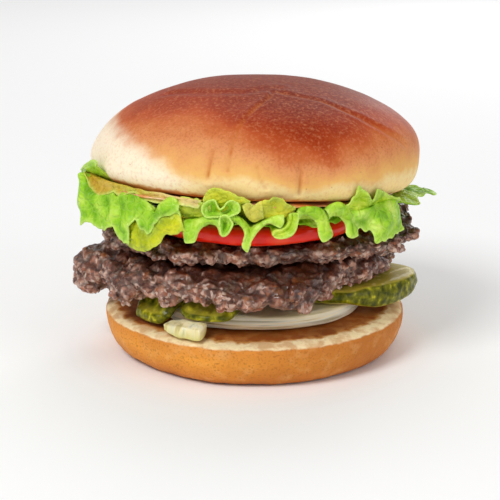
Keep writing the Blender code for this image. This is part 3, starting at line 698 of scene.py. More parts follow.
# The leaves' frills. Each blade: how young it is, how much dressing is on it, then in mm how crumpled it is,
# how far it bulges and how high its root is, and its stations. A station is the bend where the blade turns
# over, then its free rim: each a bearing in degrees, a height in mm and a reach from the middle in mm.
BLADES = {
    "lettuce_front": [
        # first finger
        (0.05, 0.0, 0.25, 1.0, 57, [
            (245.2, 58, 56.3, 247, 55.9, 57.7), (246.5, 59, 56.3, 247.3, 52.5, 59.4),
            (248.2, 59.3, 56.3, 248.7, 52.2, 59.4), (250, 59.7, 56.3, 250.8, 52.9, 59.4),
            (251.2, 60.1, 56.3, 251.3, 55.5, 58.1), (252.4, 60.5, 56.3, 252.4, 57.4, 57.2),
            (253.8, 60.8, 56.3, 253.9, 58.6, 56.7), (255.5, 60.9, 56.3, 255.6, 58.9, 56.6),
            (256.9, 61, 56.3, 257.4, 58.2, 57), (258.1, 60.9, 56.3, 258.4, 56.6, 57.8),
            (258.6, 60.9, 56.3, 258.8, 55.6, 58.4),
        ]),
        # forked finger
        (0.1, 0.0, 0.2, 1.0, 57, [
            (261.3, 61.4, 56.3, 261.8, 60, 56.4), (262.6, 61.6, 56.3, 263.4, 59.6, 56.4),
            (264.1, 61.6, 56.3, 264.9, 58.8, 56.9), (265.5, 60.7, 56.3, 266.1, 57.5, 57.5),
            (266.9, 59.2, 56.3, 266.7, 55.9, 58.3), (267.7, 57.9, 56.3, 266.1, 53.9, 59.4),
            (268.2, 57.4, 56.3, 265.7, 52.3, 59.4), (268.5, 57.2, 56.3, 266.2, 51.2, 59.4),
            (268.7, 57.2, 56.3, 267.5, 50.3, 59.4), (268.8, 57.4, 56.3, 268.1, 51.9, 59.4),
            (269.2, 57.7, 56.3, 268.5, 53.6, 59.4), (269.8, 58.4, 56.3, 269.5, 55.5, 58.6),
            (271.1, 59.4, 56.3, 270.9, 57.2, 57.7), (272.8, 60.2, 56.3, 272.7, 58.7, 56.9),
            (274.7, 61, 56.3, 274.7, 59.2, 56.7), (276.7, 61.6, 56.3, 276.6, 58.5, 57),
            (278.3, 61.9, 56.3, 278, 57.9, 57.3), (279.2, 61.7, 56.3, 279.1, 59.1, 56.6),
        ]),
        # hooked finger
        (0.35, 0.0, 0.1, -1.2, 57, [
            (280.9, 62.3, 57, 283.7, 62.9, 58.6), (281, 60.9, 57, 283.8, 61.2, 58.6),
            (280.7, 59.3, 57, 283.4, 59.2, 58.6), (279.7, 58, 57, 283, 57.4, 58.6),
            (278.3, 57.3, 57, 282, 55.8, 58.6), (276.9, 57, 57, 280.4, 54.8, 58.6),
            (276, 56.5, 57, 278.3, 54.5, 58.6), (275.6, 55.8, 57, 276.7, 54.8, 58.6),
            (275.7, 55.3, 57, 275.9, 55.3, 58.6),
        ]),
        # fifth finger
        (0.1, 0.0, 0.2, 1.2, 57, [
            (283.7, 62.6, 56.3, 284.4, 59.9, 56.4), (284.6, 63.9, 56.6, 285.1, 61.2, 56.4),
            (286.6, 64.2, 56.7, 286.8, 61.3, 56.4), (288.7, 64.1, 56.7, 288.5, 60.3, 56.4),
            (290.9, 63.7, 56.7, 290, 59, 56.4), (292.6, 62.6, 56.5, 290.6, 57.3, 57.2),
            (294, 60.9, 56.3, 290.4, 55.8, 57.9), (294.7, 59.2, 56.3, 290.6, 54, 58.8),
            (295.2, 57.3, 56.3, 291.4, 52.6, 59.4), (295.9, 55.8, 56.3, 292.8, 52.9, 59.2),
            (296.1, 54.5, 56.3, 294.1, 53.6, 58.8),
        ]),
        # sixth finger
        (0.1, 0.0, 0.2, 1.2, 57, [
            (293.5, 62.5, 56.5, 295.1, 59.3, 56.4), (294.4, 63.7, 56.7, 295.6, 60.1, 56.4),
            (296.1, 64.5, 57, 297.1, 60.5, 56.4), (298, 64.8, 57.1, 298.7, 59.8, 56.4),
            (300, 63.9, 56.9, 300.1, 58.4, 56.4), (301.9, 62.3, 56.6, 301.2, 57.1, 56.6),
            (303.8, 60.2, 56.3, 301, 55.8, 57.3), (305.3, 58.1, 56.3, 300.5, 54.3, 58),
            (306.1, 56.2, 56.3, 301, 53, 58.7), (306.3, 54.2, 56.3, 302.3, 52.5, 58.8),
            (306.2, 52.7, 56.3, 303.9, 52.8, 58.5),
        ]),
        # wide lobe
        (0.05, 0.0, 1.5, 0.8, 57, [
            (302.5, 60.9, 56.3, 304.7, 54.9, 57.5), (305, 60.8, 56.4, 306.4, 54.6, 57.5),
            (307.6, 60.7, 56.5, 308, 54.1, 57.6), (309.7, 61.1, 56.6, 309.6, 53.2, 57.9),
            (311.7, 61.2, 56.7, 311.2, 52.4, 58.1), (313.2, 61.6, 56.9, 312.1, 51.2, 58.7),
            (314.8, 62, 57, 312.8, 49.4, 59.4), (317, 61.3, 56.9, 315.4, 49.1, 59.3),
            (318.8, 61.5, 57.1, 317.9, 48.9, 59.2), (321, 62.1, 57.1, 320.3, 48.7, 59),
            (324.3, 61.3, 57.1, 323, 49.4, 58.4), (326.7, 59.5, 57, 326.8, 49.5, 58),
            (328.7, 57.1, 56.5, 330.4, 49.1, 57.8), (328.3, 55.1, 56.3, 331.2, 50.6, 57),
            (324.6, 55, 56.3, 328.1, 52.5, 56.5),
        ]),
    ],
    "lettuce_inner": [
        # low ruffle
        (0.7, 0.1, 0.9, 0.4, 58, [
            (236.9, 60.3, 54.5, 239.3, 66.7, 57), (239.9, 60, 54.5, 242, 66.5, 57),
            (243.1, 60, 54.5, 245, 67, 57), (246.2, 60, 54.5, 247.9, 66.5, 57),
            (249.2, 60, 54.5, 250.7, 66.9, 57), (252.1, 59.9, 54.5, 253.1, 66.4, 57),
            (255, 59.7, 54.5, 255.4, 65.7, 57),
        ]),
        # inner a
        (0.95, 0.05, 0.9, 0.4, 59, [
            (253.1, 64.4, 55, 253.3, 67.2, 58.1), (254.5, 63.8, 55, 254.7, 69.8, 58.9),
            (255.9, 63.6, 55, 256.1, 71.3, 59.3), (257.3, 63.7, 55, 257.7, 71.4, 59.3),
            (259, 63.8, 55, 259.6, 70.9, 59.2), (260.7, 64.2, 55, 261.4, 70.2, 59),
            (262.4, 64.6, 55, 263.3, 70, 58.9), (264.1, 64.6, 55, 265.1, 68.8, 58.5),
            (265.8, 64.3, 55, 267, 68.1, 58.2), (266.8, 64, 55, 268.4, 66.9, 57.8),
        ]),
        # inner b
        (1.0, 0.25, 0.9, 0.9, 59, [
            (266.6, 62.9, 57.2, 265.8, 65.3, 57.6), (267.6, 61.3, 57.2, 266.8, 66.5, 57.7),
            (268.8, 60.3, 57.2, 268.2, 66.2, 57.6), (270.1, 60.2, 57.2, 269.5, 65.2, 57.6),
            (271.1, 60.8, 57.2, 270.7, 66.7, 57.7), (272.7, 61.3, 57.2, 272, 67, 57.8),
        ]),
        # inner c
        (1.0, 0.1, 1.0, 0.5, 59, [
            (272.5, 60.2, 55, 271.7, 66.7, 57.7), (274.2, 60.2, 55, 273.9, 67.6, 58),
            (275.9, 60.6, 55, 275.4, 68.4, 58.3), (277.9, 60.9, 55, 277, 68.6, 58.4),
            (279.6, 61.2, 55, 278.7, 67.6, 58.1), (281, 61.8, 55, 280.4, 66.1, 57.6),
            (282.3, 62.4, 55, 281.7, 65.2, 57.6), (283.6, 63, 55, 282.8, 64.5, 57.6),
        ]),
        # inner d
        (0.4, 0.0, 1.4, 0.3, 59, [
            (304, 59.9, 55, 301.1, 63.2, 57.6), (305.8, 59.7, 55, 302.7, 64, 57.6),
            (307.6, 59.4, 55, 303.6, 66.4, 58.5), (309.4, 59.1, 55, 304.3, 69.5, 59.3),
            (311.4, 59.5, 55, 305.9, 68.3, 59.2), (313.4, 59.8, 55, 308.3, 66.8, 58.8),
            (314.9, 59.9, 55, 310.9, 64.2, 58.1), (317.1, 60.2, 55, 312.3, 66.5, 58.9),
            (320.1, 59.7, 55, 313.9, 67, 59.2), (323.3, 59.4, 55, 316.5, 66.2, 59.1),
            (326.1, 59.6, 55, 319.8, 64.5, 58.7), (329.2, 58.9, 55, 324.1, 62.5, 58.3),
            (332.8, 58.5, 55, 326.4, 61.7, 58.2),
        ]),
    ],
    "lettuce_left": [
        # left blade
        (0.0, 0.0, 2.0, 0.6, 57, [
            (196.9, 65.4, 63.2, 197.2, 50.2, 64.6), (198.7, 67.9, 62.6, 202.4, 50.6, 64.2),
            (200.6, 64.4, 61.5, 206.2, 52.7, 63.7), (203.5, 62.9, 60.6, 208.8, 51.8, 63.3),
            (207.1, 62, 59.8, 211.7, 50.1, 62.3), (211, 63, 58.9, 213.7, 51.7, 61.5),
            (214.8, 64.8, 58.7, 216.5, 51.9, 60.5), (218, 63.3, 58.4, 219.7, 50.8, 60.3),
            (220.6, 65, 58.1, 222.5, 49, 60), (223.2, 65.8, 58, 225.5, 48.5, 59.8),
            (225.3, 66.1, 58, 225.9, 52.7, 59.8), (227.2, 65.8, 58, 227.6, 56.5, 59.8),
            (228.6, 65.2, 58, 228.9, 56.5, 59.7), (230, 64.5, 58, 229.9, 54.5, 59.7),
            (231.7, 64, 58, 232, 53.5, 59.6), (233.4, 62.5, 58, 234.1, 53.7, 59.5),
            (235.1, 61.4, 58, 235.3, 55.7, 59.5), (236.3, 61.1, 58, 236.1, 57.5, 59.5),
            (237.5, 63.5, 58, 238, 59.2, 59.4), (239.5, 65.6, 58, 240.3, 60.5, 59.3),
            (241.8, 66.4, 58, 242.8, 61.4, 59.2), (243.7, 65.4, 58, 244.6, 61.6, 59.2),
            (244.4, 64, 58, 245.6, 60.1, 59.1),
        ]),
        # left lobe
        (0.95, 0.0, 0.8, 0.8, 57, [
            (220.2, 53.9, 57.3, 222.5, 47.8, 58.6), (223, 55.5, 57.3, 224.8, 47.1, 58.6),
            (225.2, 56.6, 57.3, 227.3, 46.7, 58.6), (227.7, 57.4, 57.3, 230.5, 46.7, 58.6),
            (230.5, 58.2, 57.3, 233.1, 47.7, 58.6), (233.2, 59, 57.3, 235.7, 49.1, 58.6),
            (235.7, 59.7, 57.3, 237.7, 50.7, 58.6), (238.2, 61.1, 57.3, 239.3, 53.1, 58.6),
            (240.6, 62, 57.3, 241.6, 54.1, 58.6), (242.8, 62.3, 57.3, 244.5, 55.1, 58.6),
            (245, 60.6, 57.3, 247.7, 56.1, 58.6),
        ]),
        # left ear
        (0.1, 0.0, 0.4, 0.3, 60, [
            (186.7, 64.6, 60.9, 195.7, 67.9, 62.5), (197.1, 67.7, 60.5, 199.4, 70.5, 62.5),
            (202.7, 69.3, 60.5, 204.8, 73, 62.5), (206.8, 70.6, 60.5, 209.2, 74.5, 62.5),
            (209.4, 71.5, 60.5, 212.1, 74.3, 62.5),
        ]),
    ],
    "lettuce_left_upper": [
        # upper strip
        (0.35, 0.75, 0.5, -0.6, 62, [
            (188.8, 66.5, 59.5, 199.7, 68.1, 62.5), (199.1, 67, 59.2, 201.2, 64.9, 61.9),
            (205, 66.9, 58.9, 203.6, 62.6, 61), (210.2, 66.9, 58.4, 207.9, 61.8, 60.5),
            (214.7, 67.1, 58.1, 212.7, 62.8, 59.8), (218.7, 67.3, 57.9, 216.6, 64.5, 59.3),
            (222.4, 67.3, 57.7, 220.1, 63.5, 59), (225.7, 67.1, 57.5, 223.5, 65.1, 58.7),
            (228.9, 67.3, 57.3, 226.6, 65.6, 58.3), (231.9, 67, 57.1, 229.5, 64.3, 57.9),
            (234.8, 67.1, 57, 232.6, 64, 57.6), (238.1, 67, 57, 236, 63.5, 57.5),
            (241.6, 66.6, 57, 239.6, 64.7, 57.5), (245.3, 66.4, 57, 243.4, 64.4, 57.5),
            (248.9, 66.3, 57, 247.3, 63.9, 57.5), (252.4, 66.3, 57, 251.5, 63.6, 57.5),
        ]),
    ],
}
# Hollow curls in the front leaf: the bottom of the hollow, then its rim.
CUPS = [
    # heart
    ((257.9, 62.2, 53.6), [
        (258.4, 61.5, 58.4), (256.1, 61.3, 58.4), (254.2, 61.2, 58.4), (253.3, 61.8, 58.4),
        (252.6, 63.2, 58.4), (252.8, 64.9, 58.4), (253.9, 66.2, 58.4), (255.4, 67, 58.4),
        (256.7, 67.2, 58.4), (257.5, 66.2, 58.4), (257.9, 65.1, 58.4), (258.7, 64.2, 58.4),
        (259.9, 65, 58.4), (261, 66.5, 58.4), (262.4, 67.3, 58.4), (264.1, 66.9, 58.4),
        (265.1, 65.6, 58.4), (265.2, 64, 58.4), (264.5, 63, 58.4), (262.9, 62.3, 58.4),
        (261.6, 61.6, 58.4), (260.3, 62, 58.4), (259.4, 61.8, 58.4),
    ]),
    # pocket
    ((259.7, 58.6, 55.4), [
        (258.7, 61.6, 59.3), (258.7, 59.5, 59.3), (258.9, 57.2, 59.3), (259.3, 55.6, 59.3),
        (260.3, 55.4, 59.3), (261.5, 56.4, 59.3), (262.4, 58, 59.3), (263, 59.7, 59.3),
        (262.4, 60.9, 59.3), (261.6, 62, 59.3), (260.7, 62.6, 59.3), (259.6, 62.4, 59.3),
    ]),
]


# Outside this radius a leaf's plain edge is drawn in under the frills.
TUCK = 0.049


def at(bearing, height, reach):
    """The place on the burger at this bearing in degrees, height in mm and reach from the middle in mm."""
    turn = math.radians(bearing)
    return Vector((reach * math.cos(turn), reach * math.sin(turn), height)) * MM


def flowing(points, share):
    """The place at this share of a smooth curve through the points."""
    spot = share * (len(points) - 1)
    index = min(int(spot), len(points) - 2)
    t = spot - index
    a, b = points[max(index - 1, 0)], points[index]
    c, d = points[index + 1], points[min(index + 2, len(points) - 1)]
    return 0.5 * (2 * b + (c - a) * t + (2 * a - 5 * b + 4 * c - d) * t**2 + (3 * b - a - 3 * c + d) * t**3)


def blade(bm, rows, crumple, values, border):
    """Adds an open blade through these rows of points to bm, and its free edge's points to border."""
    made = bmesh.ops.create_grid(
        bm, x_segments=(len(rows[0]) - 1) * 5, y_segments=(len(rows) - 1) * 5, size=0.5
    )["verts"]
    layers = [bm.verts.layers.float[name] for name in ("young", "dressed")]
    for vertex in made:
        u, v = vertex.co.x + 0.5, vertex.co.y + 0.5
        place = flowing([flowing(row, u) for row in rows], v)
        away = Vector((place.x, place.y, 0.0)).normalized()
        place += away * crumple * MM * (wander(place, 5.5, 12) + 0.6 * wander(place, 2.6, 13))
        place.z += crumple * MM * ease(0.7, 1.0, v) * wander(place, 2.2, 14)
        vertex.co = place
        for layer, value in zip(layers, values):
            vertex[layer] = value
        if v > 0.999 or (v > 0.6 and (u < 0.001 or u > 0.999)):
            border.append(place)


def frilled(node, border):
    """The node's blades and curls as one object, each blade a closed skin 0.6 mm thick."""
    bm = bmesh.new()
    for name in ("young", "dressed"):
        bm.verts.layers.float.new(name)
    for young, dressed, crumple, bulge, root, stations in BLADES[node]:
        rows = [
            [at(s[0], root, 45) for s in stations],
            [at(s[0], root + 0.35 * (s[1] - root), 51.5) for s in stations],
            [at(*s[:3]) for s in stations],
            [at((s[0] + s[3]) / 2, (s[1] + s[4]) / 2, (s[2] + s[5]) / 2 + bulge) for s in stations],
            [at(*s[3:]) for s in stations],
        ]
        blade(bm, rows, crumple, (young, dressed), border)
    if node == "lettuce_front":
        for hollow, rim in CUPS:
            low = at(*hollow)
            high = [at(*point) for point in rim + rim[:1]]
            inward = Vector((low.x, low.y, 0)).normalized() * 0.4 * MM
            floor = [low + (point - low) * 0.05 for point in high]
            wall = [low.lerp(point, 0.6) - inward for point in high]
            blade(bm, [floor, wall, high], 0.1, (0.0, 0.0), border)
    piece = piece_from(node + "_frill", bm)
    applied(piece, "SOLIDIFY", thickness=0.6 * MM, offset=0.0)
    return applied(piece, "SUBSURF", levels=1, render_levels=1)


class HAMBURGER_OT_lettuce(bpy.types.Operator):
    """Ruffle the lettuce: six crinkled leaves, with frills and curls along the front"""

    bl_idname = "hamburger.lettuce"
    bl_label = "Ruffle Lettuce"

    def execute(self, context):
        green = context.scene.hamburger_green
        fresh = leafy(green)
        for node in [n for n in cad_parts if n.startswith("lettuce")]:
            self.ruffle(node, green, fresh)
        return {"FINISHED"}

    def ruffle(self, node, green, fresh):
        """Builds the leaf that stands for the node."""
        bm = copied(node)
        bm.normal_update()
        folds = [e for e in bm.edges if len(e.link_faces) == 2 and e.calc_face_angle(0) > 1.0]
        sharp = {v for e in folds for v in e.verts}
        border = [v.co.copy() for v in bm.verts if v in sharp]
        piece = rounded(node + "_leaf", bm, 2)
        shy = node in BLADES
        nearest = sorted((v.co.xy.length, v.co.z) for v in piece.data.vertices)[:200]
        level = sum(height for reach, height in nearest) / len(nearest)

        def tucked(place, outward):
            """Draws the leaf's plain edge in under the frills, round the front."""
            reach = place.xy.length
            if not shy or reach < TUCK:
                return Vector()
            ahead = ease(0.0, -0.012, place.y)
            inward = place.xy * (TUCK + 0.1 * (reach - TUCK)) / reach
            return (Vector((inward.x, inward.y, level + 0.2 * (place.z - level))) - place) * ahead

        def crinkled(place, outward):
            wave = Vector([wander(place, 5, seed) for seed in (1, 2, 3)])
            wave += 0.45 * Vector([wander(place, 2.2, seed) for seed in (4, 5, 6)])
            return wave * green.ruffle * (1.7 if node == "lettuce_right" else 1)

        moved(moved(piece, tucked), crinkled)
        start = 0.9 if node in ("lettuce_inner", "lettuce_left_upper") else 0.05
        values = {"young": [start] * len(piece.data.vertices), "dressed": [0.0] * len(piece.data.vertices)}
        if shy:
            frill = frilled(node, border)
            for name in values:
                more = [0.0] * len(frill.data.vertices)
                frill.data.attributes[name].data.foreach_get("value", more)
                values[name] += more
            whole = bmesh.new()
            whole.from_mesh(piece.data)
            whole.from_mesh(frill.data)
            whole.to_mesh(piece.data)
            whole.free()
            bpy.data.objects.remove(frill)
        for name, held in values.items():
            layer = piece.data.attributes.get(name) or piece.data.attributes.new(name, "FLOAT", "POINT")
            layer.data.foreach_set("value", held)
        # Nearness to the frills' free edges, for their pale margin and its painted highlight.
        tree = kdtree.KDTree(len(border))
        for index, spot in enumerate(border):
            tree.insert(spot, index)
        tree.balance()
        painted(piece, "rim", lambda place, outward: 0.9 * math.exp(-(tree.find(place)[2] / (0.9 * MM)) ** 2))
        settle(piece, node, fresh)


def brined(green):
    """Cucumber, brined: a bumpy olive skin round wet, pale, see-through flesh with seeds."""
    material, add, feed, place = finish_of(
        "brined cucumber", Roughness=0.3, Specular_IOR_Level=0.12, Coat_Weight=0.12, Coat_Roughness=0.06,
        Subsurface_Weight=0.12, Subsurface_Radius=(0.003, 0.003, 0.001), Subsurface_Scale=0.6,
    )
    cut = add("Attribute", attribute_name="cut", out="Fac")
    out = add("Attribute", attribute_name="out", out="Fac")
    mottle = add("TexNoise", {"Vector": place, "Scale": 420.0, "Detail": 3.0})
    skin = add(
        "ValToRGB", {"Fac": mottle},
        stops=[(0.36, "#3E4402"), (0.5, green.peel), (0.6, "#868410"), (0.7, "#C8BE2C")],
    )
    flesh = add(
        "ValToRGB", {"Fac": out},
        stops=[(0.2, "#A89A34"), (0.62, green.flesh), (0.8, "#D0BE4C"), (0.95, "#7E7C1A")],
    )
    # Seeds, 2 mm across and 3.4 mm apart, lie in the middle of the flesh.
    seeds = add("TexVoronoi", {"Vector": place, "Scale": 290.0})
    seeds = add("MapRange", [seeds, 0.18, 0.3, 1.0, 0.0])
    inside = add("MapRange", [out, 0.55, 0.7, 0.8, 0.0])
    seeds = add("Math", [seeds, inside], operation="MULTIPLY")
    flesh = add("Mix", {0: seeds, 6: flesh, 7: "#D8C67A"}, data_type="RGBA")
    base = add("Mix", {0: cut, 6: skin, 7: flesh}, data_type="RGBA")
    feed("Base Color", base)
    feed("Normal", add("Bump", {"Height": mottle, "Strength": 0.4, "Distance": 0.0005}))
    return material


class HAMBURGER_OT_pickles(bpy.types.Operator):
    """Slice the pickles: four chips with bumpy skins and wet cut faces"""

    bl_idname = "hamburger.pickles"
    bl_label = "Slice Pickles"

    def execute(self, context):
        green = context.scene.hamburger_green
        brine = brined(green)
        for node in [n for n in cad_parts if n.startswith("pickle")]:
            bm = copied(node)
            bm.normal_update()
            middle = sum((v.co for v in bm.verts), Vector()) / len(bm.verts)
            flat = max(bm.faces, key=lambda f: f.calc_area() * abs(f.normal.z)).normal.copy()
            reach = max(((v.co - middle) - flat * (v.co - middle).dot(flat)).length for v in bm.verts)
            piece = rounded(node + "_chip", bm, 3)

            def outness(place, outward):
                away = place - middle
                return (away - flat * away.dot(flat)).length / reach

            painted(piece, "out", outness)
            # The two that are pressed under the beef at the front left show mostly skin.
            share = 0.35 if node in ("pickle_left", "pickle_middle") else 1.0
            painted(piece, "cut", lambda place, outward: share * ease(0.6, 0.85, abs(outward.dot(flat))))

            def knobbly(place, outward):
                side = 1 - ease(0.4, 0.9, abs(outward.dot(flat)))
                dips = 0.25 * MM * wander(place, 5, 9) * (1 - side)
                knobs = side * 0.45 * MM * (wander(place, 2.6, 8) + 0.5 * wander(place, 7, 3))
                return outward * (knobs + dips)

            moved(piece, knobbly)
            settle(piece, node, brine)
        return {"FINISHED"}


# ---------------------------------------------------------------- slices


def ripe(slices):
    """Ripe tomato, sliced: a taut shiny skin round wet pulp."""
    material, add, feed, place = finish_of(
        "ripe tomato", Roughness=0.2, Specular_IOR_Level=0.3, Coat_Weight=0.15, Coat_Roughness=0.04,
        Subsurface_Weight=0.12, Subsurface_Radius=(0.006, 0.0012, 0.0006), Subsurface_Scale=0.5,
    )
    cut = add("Attribute", attribute_name="cut", out="Fac")
    patch = add("TexNoise", {"Vector": place, "Scale": 90.0, "Detail": 3.0})
    skin = add("ValToRGB", {"Fac": patch}, stops=[(0.35, "#DC1606"), (0.5, slices.tomato), (0.68, "#F84A28")])
    pulp = add("TexVoronoi", {"Vector": place, "Scale": 120.0}, feature="SMOOTH_F1")
    pulp = add("ValToRGB", {"Fac": pulp}, stops=[(0.1, "#F0A070"), (0.3, slices.pulp), (0.7, "#C92A18")])
    base = add("Mix", {0: cut, 6: skin, 7: pulp}, data_type="RGBA")
    feed("Base Color", base)
    feed("Normal", add("Bump", {"Height": patch, "Strength": 0.3, "Distance": 0.0006}))
    return material


class HAMBURGER_OT_tomato(bpy.types.Operator):
    """Slice the tomato: a thick shiny slice"""

    bl_idname = "hamburger.tomato"
    bl_label = "Slice Tomato"

    def execute(self, context):
        piece = rounded("tomato_flesh", copied("tomato_slice"), 3)
        moved(piece, lambda place, outward: outward * 0.3 * MM * wander(place, 7, 2))
        painted(piece, "cut", lambda place, outward: ease(0.75, 0.95, abs(outward.z)))
        settle(piece, "tomato_slice", ripe(context.scene.hamburger_slices))
        return {"FINISHED"}


def layered(slices):
    """White onion, raw: crisp wet flesh in layers, with fibres that run along them."""
    material, add, feed, place = finish_of(
        "raw white onion", Roughness=0.28, Specular_IOR_Level=0.5, Coat_Weight=0.2, Coat_Roughness=0.15,
        Subsurface_Weight=0.4, Subsurface_Radius=(0.004, 0.004, 0.003), Subsurface_Scale=0.6,
    )
    # Fibres lie flat in the slice: 1.1 mm apart up it, and long round it.
    flat = add("Mapping", {"Vector": place, "Scale": (30.0, 30.0, 900.0)})
    fibres = add("TexNoise", {"Vector": flat, "Scale": 1.0, "Detail": 3.0})
    broken = add("Attribute", attribute_name="broken", out="Fac")
    # In the broken piece they stand upright, 2.6 mm apart.
    upright = add("Mapping", {"Vector": place, "Scale": (380.0, 380.0, 60.0)})
    upright = add("TexNoise", {"Vector": upright, "Scale": 1.0, "Detail": 3.0})
    fibres = add("Mix", {0: broken, 2: fibres, 3: upright}, data_type="FLOAT")
    base = add(
        "ValToRGB", {"Fac": fibres},
        stops=[(0.34, slices.fibre), (0.46, slices.onion), (0.58, "#ECE8D4"), (0.68, "#B9AE86")],
    )
    # The broken end is yellow-green low down, where its skin side lies.
    low = add("SeparateXYZ", [place], out="Z")
    low = add("MapRange", [low, 0.0165, 0.021, 0.85, 0.15])
    low = add("Math", [low, broken], operation="MULTIPLY")
    base = add("Mix", {0: low, 6: base, 7: "#CFC860"}, data_type="RGBA")
    feed("Base Color", base)
    feed("Normal", add("Bump", {"Height": fibres, "Strength": 0.4, "Distance": 0.0004}))
    return material


class HAMBURGER_OT_onion(bpy.types.Operator):
    """Slice the onion: a thick slice, and a short length of ring"""

    bl_idname = "hamburger.onion"
    bl_label = "Slice Onion"

    def execute(self, context):
        flesh = layered(context.scene.hamburger_slices)
        for node in ("onion_slice", "onion_piece"):
            piece = rounded(node + "_flesh", copied(node), 3)

            def ridged(place, outward):
                fibre = Vector((place.x / 25, place.y / 25, place.z / 1.3)) / MM
                if node == "onion_piece":
                    return outward * MM * (0.9 * wander(place, 5, 4) + 0.15 * wander(place, 2.2, 5))
                return outward * 0.22 * MM * (noise.noise(fibre) + 0.8 * wander(place, 7, 4))

            moved(piece, ridged)
            painted(piece, "broken", lambda place, outward: 1.0 if node == "onion_piece" else 0.0)
            settle(piece, node, flesh)
        return {"FINISHED"}


# ---------------------------------------------------------------- sauce


def dressed(sauce):
    """Burger dressing, spread: an opaque glossy emulsion, more orange where it is thin."""
    material, add, feed, place = finish_of(
        "emulsified dressing", Roughness=0.22, Specular_IOR_Level=0.55, Coat_Weight=0.35, Coat_Roughness=0.1,
        Subsurface_Weight=0.3, Subsurface_Radius=(0.003, 0.0018, 0.001), Subsurface_Scale=0.5,
    )
    patch = add("TexNoise", {"Vector": place, "Scale": 130.0, "Detail": 4.0})
    base = add(
        "ValToRGB", {"Fac": patch},
        stops=[(0.32, sauce.spice), (0.46, "#E2A066"), (0.58, sauce.dressing), (0.75, "#F2D2AE")],
    )
    feed("Base Color", base)
    feed("Normal", add("Bump", {"Height": patch, "Strength": 0.4, "Distance": 0.0006}))
    return material


class HAMBURGER_OT_sauce(bpy.types.Operator):
    """Spread the dressing under the crown"""

    bl_idname = "hamburger.sauce"
    bl_label = "Spread Sauce"

    def execute(self, context):
        piece = rounded("sauce_spread", copied("sauce"), 3)

        def squeezed(place, outward):
            """Draws the spread's rim out to the crown's lip, round the front."""
            reach = place.xy.length
            run = ease(0.036, 0.047, reach) * ease(0.012, -0.01, place.y)
            run *= MM * (9.3 + 1.6 * wander(place, 11, 6))
            away = Vector((place.x, place.y, 0.0)) * run / max(reach, MM)
            away.z = -(CROWN_UP.y * away.y + 0.042 * away.x) / CROWN_UP.z
            return away + outward * 0.45 * MM * (wander(place, 6, 3) + 0.4 * wander(place, 2.5, 4))

        moved(piece, squeezed)
        settle(piece, "sauce", dressed(context.scene.hamburger_sauce))
        return {"FINISHED"}


# ---------------------------------------------------------------- stage


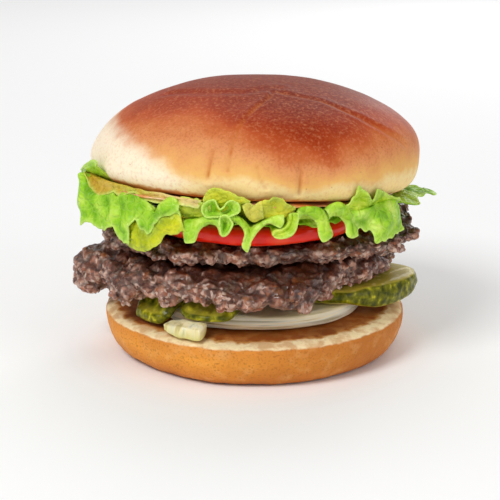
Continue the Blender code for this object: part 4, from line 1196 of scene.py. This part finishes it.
class HAMBURGER_OT_stage(bpy.types.Operator):
    """Set the stage: a plain floor, soft lamps and the camera"""

    bl_idname = "hamburger.stage"
    bl_label = "Set Stage"

    def execute(self, context):
        setting = context.scene.hamburger_stage
        bm = bmesh.new()
        bmesh.ops.create_circle(bm, cap_ends=True, radius=4.0, segments=64)
        floor = piece_from("floor", bm)
        matt = {"Base_Color": setting.floor, "Roughness": 0.9, "Specular_IOR_Level": 0.2}
        floor.data.materials.append(finish_of("matt white board", **matt)[0])

        world = bpy.data.worlds.new("daylight")
        world.use_nodes = True
        world.node_tree.nodes["Background"].inputs["Color"].default_value = (1.0, 1.0, 1.0, 1.0)
        world.node_tree.nodes["Background"].inputs["Strength"].default_value = setting.daylight
        context.scene.world = world

        lamps = [
            ("key_lamp", setting.key, 0.45, (-0.55, -0.75, 0.95), (0.0, 0.0, 0.05)),
            ("fill_lamp", setting.fill, 0.6, (0.8, -0.6, 0.45), (0.0, 0.0, 0.05)),
            ("rim_lamp", 0.2 * setting.key, 0.5, (0.5, 1.0, 0.42), (0.0, 0.0, 0.08)),
            ("back_lamp", 0.6 * setting.key, 1.2, (0.0, 1.1, 1.1), (0.0, 1.1, 0.0)),
        ]
        for name, power, width, spot, aim in lamps:
            light = bpy.data.lights.new(name, "AREA")
            light.energy = power
            light.size = width
            lamp = bpy.data.objects.new(name, light)
            lamp.location = spot
            lamp.rotation_euler = (Vector(aim) - lamp.location).to_track_quat("-Z", "Y").to_euler()
            context.scene.collection.objects.link(lamp)

        camera = bpy.data.objects.new("camera", bpy.data.cameras.new("camera"))
        camera.location = (-0.0018, -0.505, 0.179)
        camera.rotation_euler = (math.radians(74.0), 0.0, 0.0)
        camera.data.lens = setting.lens
        camera.data.sensor_width = 36.0
        camera.data.clip_start = 0.01
        context.scene.collection.objects.link(camera)
        context.scene.camera = camera
        context.scene.view_settings.view_transform = "Standard"
        return {"FINISHED"}


# ---------------------------------------------------------------- panel and run


SETTINGS = {
    "hamburger_bun": BunSettings,
    "hamburger_beef": BeefSettings,
    "hamburger_green": GreenSettings,
    "hamburger_slices": SliceSettings,
    "hamburger_sauce": SauceSettings,
    "hamburger_stage": StageSettings,
}

STEPS = [
    HAMBURGER_OT_heel,
    HAMBURGER_OT_onion,
    HAMBURGER_OT_pickles,
    HAMBURGER_OT_patties,
    HAMBURGER_OT_tomato,
    HAMBURGER_OT_lettuce,
    HAMBURGER_OT_sauce,
    HAMBURGER_OT_crown,
    HAMBURGER_OT_stage,
]


class HAMBURGER_PT_panel(bpy.types.Panel):
    """The hamburger's steps and settings"""

    bl_idname = "HAMBURGER_PT_panel"
    bl_label = "Double Hamburger"
    bl_space_type = "VIEW_3D"
    bl_region_type = "UI"
    bl_category = "Hamburger"

    def draw(self, context):
        for step in STEPS:
            self.layout.operator(step.bl_idname)
        for name, kind in SETTINGS.items():
            box = self.layout.box()
            for prop in kind.__annotations__:
                box.prop(getattr(context.scene, name), prop)


def register():
    """Registers the settings, the operators and the panel."""
    for name, kind in SETTINGS.items():
        bpy.utils.register_class(kind)
        setattr(bpy.types.Scene, name, PointerProperty(type=kind))
    for kind in STEPS:
        bpy.utils.register_class(kind)
    bpy.utils.register_class(HAMBURGER_PT_panel)


def unregister():
    """Takes them away again."""
    bpy.utils.unregister_class(HAMBURGER_PT_panel)
    for kind in reversed(STEPS):
        bpy.utils.unregister_class(kind)
    for name, kind in SETTINGS.items():
        delattr(bpy.types.Scene, name)
        bpy.utils.unregister_class(kind)


def main():
    """Builds the hamburger and its stage."""
    register()
    for step in STEPS:
        group, name = step.bl_idname.split(".")
        getattr(getattr(bpy.ops, group), name)()


if __name__ == "__main__":
    main()
